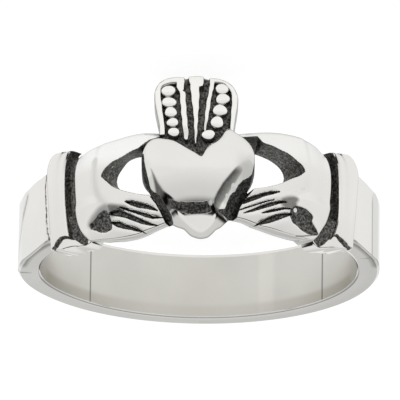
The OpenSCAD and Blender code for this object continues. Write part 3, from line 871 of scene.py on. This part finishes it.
def hand_finish(spec, x, y, v):
    """How black a hand's palm, wrist and edges are, how much painted shade they carry, and how deep its palm
    is hollowed.
    """
    black, hollow = np.zeros(len(x)), np.zeros(len(x))
    # the scoops are hollowed and painted black, as blackening and a painted dark reflection
    for soft, share, deep, outline in spec["scoops"]:
        off = from_outline(x, y, curve(unrolled(outline, HAND_ROUND), 40, closed=True))
        hollow = hollow + deep * smooth(.1, -.3, off)
        black = np.maximum(black, share * smooth(soft, -soft, off))
    # painted shade: dark lines at the upper and lower edges, places of shade and soft lines along the hand
    painted_light_share = .55 * smooth(.1, .04, (1 - v) * HAND_LONG) + .12 * smooth(.06, .02, v * HAND_LONG)
    for soft, share, outline in spec["shades"]:
        off = from_outline(x, y, curve(unrolled(outline, HAND_ROUND), 40, closed=True))
        painted_light_share = np.maximum(painted_light_share, share * smooth(soft, -.08, off))
    for wide, share, line in spec["strokes"]:
        painted_light_share = np.maximum(painted_light_share, share * bell(from_line(x, y, unrolled(line, HAND_ROUND)), wide))
    # painted highlights: black and painted shade left off at the glint spots
    for phi, along in spec["painted_glints"]:
        clear = smooth(.07, .17, np.hypot(x - math.radians(phi) * HAND_ROUND, y - along))
        black, painted_light_share = black * clear, painted_light_share * clear
    return hollow, black, painted_light_share


def hand_height(spec, phi, along, u, v):
    """Radius of a hand's surface, how black it is, and its painted light, shade above 0 and highlight
    below, with u from the wrist to the heart and v from the lower edge to the upper."""
    a = along - spec["skew"]
    x, y = np.radians(phi) * HAND_ROUND, along
    high = np.clip(a - 1.0, 0, 9)
    turn = np.clip(-1.05 - a, 0, 9) * (1 - .3 * smooth(36, 40, phi))
    r = HAND_R - .32 * smooth(34, 44, phi) - .35 * smooth(27, 9, phi) - .07 * turn ** 2 - high ** 2 / 7
    mound = from_outline(x, y, unrolled(spec["mound"], HAND_ROUND))
    r = r + .12 * (smooth(.35, -.12, mound) - 1) * (1 - .85 * smooth(-.4, -1.0, a))
    hollow, black, painted_light_share = hand_finish(spec, x, y, v)
    # painted highlight: the upper part of the hand painted lighter where it has no painted shade
    painted_light_share = painted_light_share - spec["bright"] * smooth(.8, 1.8, a) * (painted_light_share < .05)
    r = r - hollow
    r = r - edge_drop((1 - v) * HAND_LONG, .45) - edge_drop(u * HAND_WIDE, .3) - edge_drop(v * HAND_LONG, .08)
    for line in spec["grooves"]:
        share, near = leaf(x, y, [(math.radians(f) * HAND_ROUND, b, w) for f, b, w in line])
        r = r - .22 * np.clip(share * 2.0, 0, 1) ** .8 - .05 * near
        black = np.maximum(black, np.clip(share * 4 + .2 * (share > 0), 0, 1))
    # the gap beside the heart, and the low ground between the thumb and the heart
    gap = smooth(.0, -.12, np.radians(phi - phi_at(spec["gap"], along)) * OPENING_ROUND) * (along < 0)
    line = spec["thumb"]
    edge = np.interp(phi, [8, 13] + [f for f, _ in line], [2.62, 2.5] + [b for _, b in line])
    under = smooth(.02, -.1, along - edge) * smooth(20, 16, phi) * (along > 0)
    ground = np.maximum(gap, under)
    r = r + (GROUND_R - r) * ground
    black = np.maximum(black, smooth(0, .3, ground))
    return r, black, painted_light_share


def hand_opening(side, front, rear):
    """The cutter for the opening between thumb and fingers: its front and rear outlines, paired
    point by point, joined and drawn out past both faces."""
    cutter = bmesh.new()
    rings = [[cutter.verts.new(wrap(side, f, a, radius)) for f, a in outline]
             for outline, radius in ((front, HAND_ROUND), (rear, HOLE_R + .1))]
    ends = [[v.co + (v.co - o.co) * share for v, o in zip(ring, other)]
            for ring, other, share in ((rings[0], rings[1], .35), (rings[1], rings[0], .3))]
    for ring, moved in zip(rings, ends):
        for i, (v, end) in enumerate(zip(ring, moved)):
            v.co = end
            cutter.edges.new((v, ring[(i + 1) % len(ring)]))
    bmesh.ops.bridge_loops(cutter, edges=cutter.edges[:])
    bmesh.ops.holes_fill(cutter, edges=[e for e in cutter.edges if e.is_boundary], sides=0)
    bmesh.ops.triangulate(cutter, faces=[f for f in cutter.faces if len(f.verts) > 4])
    return cutter


def make_hand(side, spec, material, walls):
    patch = make_patch(spec["bottom"], spec["top"], spec["wrist"],
                       [spec["bottom"][-1], (5.5, -.5), (6.5, 1.2), spec["top"][-1]])
    raised_from, raised_to = spec["raised"]
    finish = {}

    def key(point):
        return tuple(np.round(point, 3))

    def place(u, v):
        p = patch(u, v)
        r, black, painted_light_share = hand_height(spec, p[:, 0], p[:, 1], u, v)
        points = wrap(side, p[:, 0], p[:, 1], r)
        for point, share in zip(np.stack(points, -1), np.stack([black, painted_light_share], -1)):
            finish[key(point)] = share
        return points

    def underside(p):
        out = to_bore(p)
        raised = smooth(raised_from, raised_to, p[:, 1]) * smooth(39, 35, np.abs(turned(p)[0]))
        out[:, 1] += .32 * raised
        return out

    bm = sheet(230, 175, place, .3, .45)
    sink(bm, underside)
    low, low_rear = spec["low"], spec["low_back"]
    front = np.vstack([curve(spec["thumb"], 26), curve(low, 26), [(12.5, low[-1][1]), (12.5, 1.6)]])
    rear = np.vstack([curve(spec["back"], 26), curve(low_rear, 26), [(12.5, low_rear[-1][1]), (12.5, 1.8)]])
    done = cut(bm, hand_opening(side, front, rear))
    opening = unrolled(front, OPENING_ROUND)

    def near_opening(points):
        x = np.radians(np.abs(turned(points)[0])) * OPENING_ROUND
        return from_outline(x, points[:, 1], opening) < .5

    def blackening_and_dark_reflection(points):
        out = np.array([finish.get(key(point), (-1, 0))[0] for point in points])
        fresh = (out < 0) & (turned(points)[1] > HOLE_R + .03)
        out[fresh] = near_opening(points[fresh])
        return out

    # points off the top surface, on the underside and the cut walls, get a painted highlight below along -1.2
    def painted_light(points):
        return np.array([finish.get(key(point), (0, -.45 * (point[1] < -1.2)))[1] for point in points])

    done.normal_update()
    close = near_opening(np.array([f.calc_center_median() for f in done.faces]))
    for face in np.array(done.faces[:], object)[close]:
        middle = face.calc_center_median()
        out = Vector((middle.x, 0, middle.z)).normalized()
        if abs(face.normal.dot(out)) < .75 and middle.y < 2.7:
            face.material_index = 1
    piece = finish_piece(done, spec["name"], material, blackening_and_dark_reflection, painted_light, crease=42)
    piece.data.materials.append(walls)


# The heart

def dome_height(x, y):
    """Height of the heart's surface: a low dome and a facet at the tip, met by a rounded turn,
    falling away outside the dome's edge and again in the crevices."""
    down = np.clip(.3 - y, 0, 9)
    up = np.clip(y - .3, 0, 9)
    dome = DOME_TOP - .087 * down ** 2 - .07 * up ** 2 - .085 * x ** 2
    facet = 10.84 + (y + 2.22) * 1.25
    body = soft_min(dome, facet, .55)
    # the distance from the dome's edge, averaged over a small patch so that the flank has no creases
    edge = curve(DOME, 110, closed=True)
    near = [(0, 0), (.12, 0), (-.12, 0), (0, .12), (0, -.12),
            (.09, .09), (-.09, .09), (.09, -.09), (-.09, -.09)]
    outside = sum(from_outline(x + dx, y + dy, edge) for dx, dy in near) / len(near)
    body = body + soft_min(-outside, 0 * x, .1)
    for crevice in CREVICES:
        body = body - .25 * smooth(.0, -.2, from_outline(x, y, crevice))
    return body


def clear_of_painted_glints(x, y, low, high):
    """0 in the middle of the painted highlights on the heart, 1 away from them."""
    clear = np.ones(len(x))
    for sx, sy, wide, tall in PAINTED_GLINTS:
        clear = clear * smooth(low, high, np.hypot((x - sx) / wide, (y - sy) / tall))
    return clear


def heart_blackening_and_painted_dark(p):
    x, y = p[:, 0], p[:, 1]
    out = smooth(.03, .0, -from_outline(x, y, HEART_EDGE)) * smooth(-2.5, -2.2, y)
    for crevice in CREVICES:
        out = np.maximum(out, smooth(.03, -.06, from_outline(x, y, crevice)))
    # the band under the dome, painted dark: blackening and a painted dark reflection
    out = np.maximum(out, .62 * smooth(.05, -.06, from_outline(x, y, UNDER_DOME)))
    # no black at the painted highlights
    return out * clear_of_painted_glints(x, y, .6, 1.1)


def heart_painted_light(p):
    """Painted shade on the flanks, the right lobe, the band under the dome, the crease right of the tip,
    the turned edge of the tip and beside it, and painted highlights at the bright places.
    """
    x, y = p[:, 0], p[:, 1]
    inside = np.maximum(-from_outline(x, y, HEART_EDGE), 0)
    left = .85 * smooth(.07, -.07, from_outline(x, y, LEFT_SHADE)) * smooth(.6, .1, y)
    foot, ridge = from_line(x, y, DOME_FOOT), from_line(x, y, RIDGE)
    between = smooth(.1, -.02, from_outline(x, y, DOME_FOOT + RIDGE[::-1]))
    right = (.95 - .35 * foot / (foot + ridge + .001)) * between * smooth(.65, .1, y)
    lobe = .2 * smooth(1.7, 2.4, x) * smooth(1.5, .5, y) * smooth(-.5, .1, y)
    band = .35 * smooth(.05, -.06, from_outline(x, y, UNDER_DOME))
    crease = .85 * smooth(.05, -.05, from_outline(x, y, FOOT_SHADE))
    tip = .55 * smooth(.07, .03, inside) * smooth(-2.2, -2.5, y)
    beside_tip = smooth(.02, .12, from_outline(x, y, curve(DOME, 160, closed=True)))
    beside_tip = .2 * beside_tip * smooth(-2.05, -2.2, y)
    out = np.max([left, right, lobe, band, crease, tip, beside_tip], 0)
    # painted highlights: below 0 at the glint spots
    clear = clear_of_painted_glints(x, y, .7, 1.1)
    return out * clear - (1 - clear)


def make_heart(material):
    centre = (0.0, -.35)

    def place(u, v):
        x, y = inward(HEART_EDGE, centre, u, v, reach=.96)
        return x, y, dome_height(x, y)

    def underside(p):
        out = down_to_bore(p)
        narrower = .82 + .18 * smooth(-1.2, .5, p[:, 1])
        out[:, 0] *= narrower
        out[:, 1] = np.where(p[:, 1] < 0, p[:, 1] * narrower, p[:, 1])
        return out

    bm = sheet(300, 110, place)
    bmesh.ops.remove_doubles(bm, verts=bm.verts, dist=MERGE)
    middle = [e for e in bm.edges if e.is_boundary
              and all(math.hypot(v.co.x - centre[0], v.co.y - centre[1]) < .3 for v in e.verts)]
    bmesh.ops.holes_fill(bm, edges=middle, sides=0)
    sink(bm, underside)
    finish_piece(bm, "heart", material, heart_blackening_and_painted_dark, heart_painted_light, crease=45)


# The crown

def make_crown_field(material):
    """The sunk plate behind the crown's bars and beads."""
    outline = np.vstack([curve(CROWN, 90), [(.9, .4), (-.2, .2), (-1.2, .4)]])

    def place(u, v):
        x, y = inward(outline, (-.2, 4.0), u, v)
        ripple = .02 * np.sin(x * 19 + y * 5) * np.sin(y * 13 - x * 7)
        return x, y, CROWN_FIELD - .12 * smooth(2.9, 2.0, y) + ripple * smooth(0, .1, v)

    bm = sheet(220, 40, place)
    bmesh.ops.remove_doubles(bm, verts=bm.verts, dist=MERGE)
    sink(bm, down_to_bore)
    finish_piece(bm, "crown_field", material, lambda p: (p[:, 2] > CROWN_FIELD - .3).astype(float))


def make_crown_rim(material):
    lines = curve(RIM)
    # across the rim from its outer foot over the top to its inner foot: share of the way, height
    section = curve([(0, -1.2), (0, -.35), (.02, -.1), (.1, -.02), (.3, 0), (.7, 0), (.88, -.02), (.97, -.1),
                     (1, -.45), (1, -.9)], 26)
    section = np.vstack([section, [(.5, -1.2)], section[:1]])

    def place(u, v):
        i = v * (len(section) - 1)
        share = np.interp(i, np.arange(len(section)), section[:, 0])
        up = np.interp(i, np.arange(len(section)), section[:, 1])
        p = lines(u)
        ripple = .015 * np.sin(u * 61) * np.sin(u * 23 + 1)
        x = p[:, 0] + (p[:, 2] - p[:, 0]) * share * (1 + ripple * 3)
        y = p[:, 1] + (p[:, 3] - p[:, 1]) * share * (1 + ripple * 3)
        z = CROWN_TOP + up
        for low, high in RIM_SLOTS:
            slot = smooth(low - .02, low + .03, x) * smooth(high + .02, high - .03, x) * (y > 5)
            z = z + (np.minimum(z, CROWN_FIELD + .04) - z) * slot
        return x, y, z

    def blackening_and_dark_reflection(p):
        inner = from_outline(p[:, 0], p[:, 1], CROWN)
        sides = smooth(CROWN_TOP - .1, CROWN_TOP - .2, p[:, 2]) * (inner < -.12)
        slots = smooth(CROWN_TOP - .15, CROWN_TOP - .3, p[:, 2]) * (inner < -.03) * (p[:, 1] > 5)
        return np.maximum(sides, slots)

    # Painted shade: a darker line along the rim's outer edge.
    def painted_light(p):
        return .5 * smooth(-.06, -.01, from_outline(p[:, 0], p[:, 1], CROWN))

    bm = sheet(460, len(section) - 1, place)
    bmesh.ops.remove_doubles(bm, verts=bm.verts, dist=MERGE)
    bmesh.ops.holes_fill(bm, edges=[e for e in bm.edges if e.is_boundary], sides=0)
    finish_piece(bm, "crown_rim", material, blackening_and_dark_reflection, painted_light, crease=50)


def crown_bar(left, right, foot):
    """One bar from the crown's top down to its pointed foot."""
    top, end = left[0][0], left[-1][0]

    def across(line, y):
        return np.interp(-y, [-a for a, _ in line], [x for _, x in line])

    def place(u, v):
        y = top + (end - top) * u
        low, high = across(left, y), across(right, y)
        taper = np.sqrt(np.clip(1 - np.clip((end + foot - y) / foot, 0, 1) ** 2, .05, 1))
        middle, half = (low + high) / 2, (high - low) / 2 * taper
        from_edge = np.minimum(v, 1 - v) * 2 * half
        z = (CROWN_TOP + .004 - edge_drop(from_edge, .05) * smooth(5.45, 5.35, y)
             - edge_drop((1 - u) * 3, .05) - .08 * smooth(.75, 1, u) - edge_drop(u * 3.4, .03))
        wave = .012 * np.sin(y * 9 + top * 5)
        return middle + half * (2 * v - 1) + wave, y, z

    return sink(sheet(110, 14, place, 0, .4), down_to(CROWN_FIELD - .3))


def make_crown_bars(material):
    whole = bmesh.new()
    for left, right, foot in CROWN_BARS:
        add_to(whole, crown_bar(left, right, foot))
    finish_piece(whole, "crown_bars", material,
                 lambda p: smooth(CROWN_TOP - .1, CROWN_TOP - .2, p[:, 2]), crease=50)


def crown_bead(i, x, y, wide, tall):
    """One flat-topped bead, each a little out of round in its own way."""
    def place(u, v):
        a = 2 * PI * u
        out = (1 - v) * (1 + .035 * np.sin(2 * a + i * 2.1) + .03 * np.sin(3 * a + i * 1.3))
        z = CROWN_TOP - .035 * (1 - v) ** 2 - edge_drop(v * .36, .06)
        return x + out * wide * .52 * np.cos(a), y + out * tall * .54 * np.sin(a), z

    bm = sheet(40, 14, place)
    bmesh.ops.remove_doubles(bm, verts=bm.verts, dist=MERGE)
    return sink(bm, down_to(CROWN_FIELD - .1))


def make_crown_beads(material):
    whole = bmesh.new()
    for i, bead in enumerate(BEADS):
        add_to(whole, crown_bead(i, *bead))
    finish_piece(whole, "crown_beads", material, lambda p: smooth(9.95, 9.86, p[:, 2]), merge=0)


# The whole ring

def make_ring():
    polished = silver("polished_silver", .78, .06, edge=.9)
    carved = silver("carved_silver", .78, .07, edge=.6)
    cast = silver("cast_silver", .86, .14, edge=.4)
    # the inside: a rougher finish, and a lower tone that is painted shade
    matte_inside = silver("brushed_silver", .64, .3, edge=.9, inside=True, warm=.05)
    black_walls = silver("blackened_walls", .9, .3, blackened=.06, all_black=True)
    groove_floors = {-1: silver("greyed_silver", .9, .3, blackened=.15),
                     1: silver("blackened_silver", .9, .3, blackened=.06)}
    make_band(polished, matte_inside)
    for side in SIDE_NAMES:
        make_cuff(side, CUFFS[side], polished)
        make_seat(side, CUFFS[side], polished)
        make_groove(side, CUFFS[side], HANDS[side], groove_floors[side])
        make_hand(side, HANDS[side], carved, black_walls)
    make_heart(carved)
    make_crown_field(cast)
    make_crown_rim(cast)
    make_crown_bars(cast)
    make_crown_beads(cast)


# Floor, light and camera

def make_floor():
    """A white table that glows softly, a little less in front of the ring and far to its sides."""
    just_under = CAD_BOX[0][2] - .00005
    bm = bmesh.new()
    bmesh.ops.create_grid(bm, x_segments=1, y_segments=1, size=1.0)
    bmesh.ops.translate(bm, verts=bm.verts, vec=(0, 0, just_under))
    mesh = bpy.data.meshes.new("floor")
    bm.to_mesh(mesh)
    bm.free()
    floor = bpy.data.objects.new("floor", mesh)
    bpy.context.scene.collection.objects.link(floor)
    table = bpy.data.materials.new("white_table")
    tree = empty_tree(table)
    x, y, _ = make(tree, "ShaderNodeTexCoord", {}, {}, out="Object").axes()
    ahead = y.between(-.03, -.14)
    beside = x.absolute().between(.0135, .03)
    dimmer = beside.maths("MAXIMUM", beside * .85, ahead)
    shader = make(tree, "ShaderNodeBsdfPrincipled", {}, {
        "Base Color": (.2, .2, .2, 1), "Roughness": .9, "Emission Strength": .9,
        "Emission Color": blend_colour(tree, dimmer, grey(1.0), grey(.89))})
    make(tree, "ShaderNodeOutputMaterial", {}, {"Surface": shader})
    floor.data.materials.append(table)


def make_studio():
    """Pale cards all round, with a dark room seen over the front ones and a window in it. Heights
    and turns are in degrees, the turn from straight in front of the ring."""
    world = bpy.data.worlds.new("studio")
    bpy.context.scene.world = world
    tree = empty_tree(world)
    dx, dy, dz = make(tree, "ShaderNodeTexCoord", {}, {}, out="Generated").axes()
    height = dz.maths("ARCSINE", dz) * (180 / PI)
    turn = dx.maths("ARCTAN2", dx, dy * -1) * (180 / PI)
    aside = turn.absolute()
    lower = 29 - aside.between(50, 100) * 6
    upper = 72 - aside.between(15, 95) * 22
    room = height.between(lower - 6, lower + 5) * (1 - height.between(upper - 3, upper + 3))
    room = room * (1 - aside.between(108, 120))
    window = turn.between(-86, -80) * (1 - turn.between(-52, -46))
    window = window * height.between(35, 37) * (1 - height.between(41, 43))
    low_card = blend_colour(tree, height.between(-4, 20), grey(.95), grey(.8))
    card = blend_colour(tree, height.between(24, 60), low_card, grey(1.0))
    behind = blend_colour(tree, height.between(8, 45), grey(.76), grey(.97))
    cards = blend_colour(tree, aside.between(85, 115), card, behind)
    cards = blend_colour(tree, height.between(74, 80), cards, grey(.95))
    colour = blend_colour(tree, room * (1 - window), cards, (.02, .018, .016, 1))
    backdrop = make(tree, "ShaderNodeBackground", {}, {"Color": colour, "Strength": 1.0})
    make(tree, "ShaderNodeOutputWorld", {}, {"Surface": backdrop})


def make_camera():
    """Looks at the ring from the photo's angle to it, with numbers fitted to the photo. The ring lies
    on its crown, so the picture is rolled until the crown is up."""
    distance, lean, roll = .420, math.radians(18.12) + TILT, math.radians(.794)
    across = Vector((-1, 0, 0))
    along = Vector((0, -math.sin(lean), -math.cos(lean)))
    eye = Vector((0, -math.cos(lean), math.sin(lean))) * distance
    aim = along * .002041 + across * .0000246
    back = (eye - aim).normalized()
    up = along * math.cos(roll) - across * math.sin(roll)
    right = up.cross(back).normalized()
    up = back.cross(right)
    camera = bpy.data.objects.new("camera", bpy.data.cameras.new("camera"))
    camera.data.sensor_width = 36
    camera.data.lens = 692.7
    camera.data.clip_start = .01
    camera.matrix_world = Matrix.Translation(eye) @ Matrix((right, up, back)).transposed().to_4x4()
    bpy.context.scene.collection.objects.link(camera)
    bpy.context.scene.camera = camera
    bpy.context.scene.view_settings.view_transform = "Standard"


make_ring()
make_floor()
make_studio()
make_camera()
